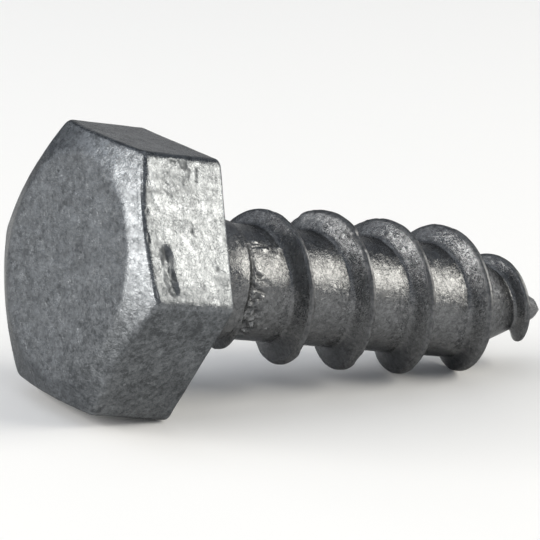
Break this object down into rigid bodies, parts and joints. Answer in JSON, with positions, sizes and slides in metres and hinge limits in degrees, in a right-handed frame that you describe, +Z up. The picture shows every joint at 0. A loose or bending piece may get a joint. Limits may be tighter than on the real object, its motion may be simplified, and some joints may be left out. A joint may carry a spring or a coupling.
{
  "type": "lag screw",
  "caption": "Short hot-dip galvanised lag screw: chamfered hexagon head, coarse right-hand wood thread over almost the whole shank, and a gimlet point.",
  "frame": {"origin": "middle of the footprint, on the surface that the screw lies on", "axes": "+X towards the point, with the shank leaning 9 degrees down towards it; +Z up, square to the ground"},
  "size_m": [0.0384, 0.0194, 0.0177],
  "materials": {
    "zinc": "satin"
  },
  "bodies": {
    "root": {"lag_screw": "zinc"}
  },
  "joints": []
}
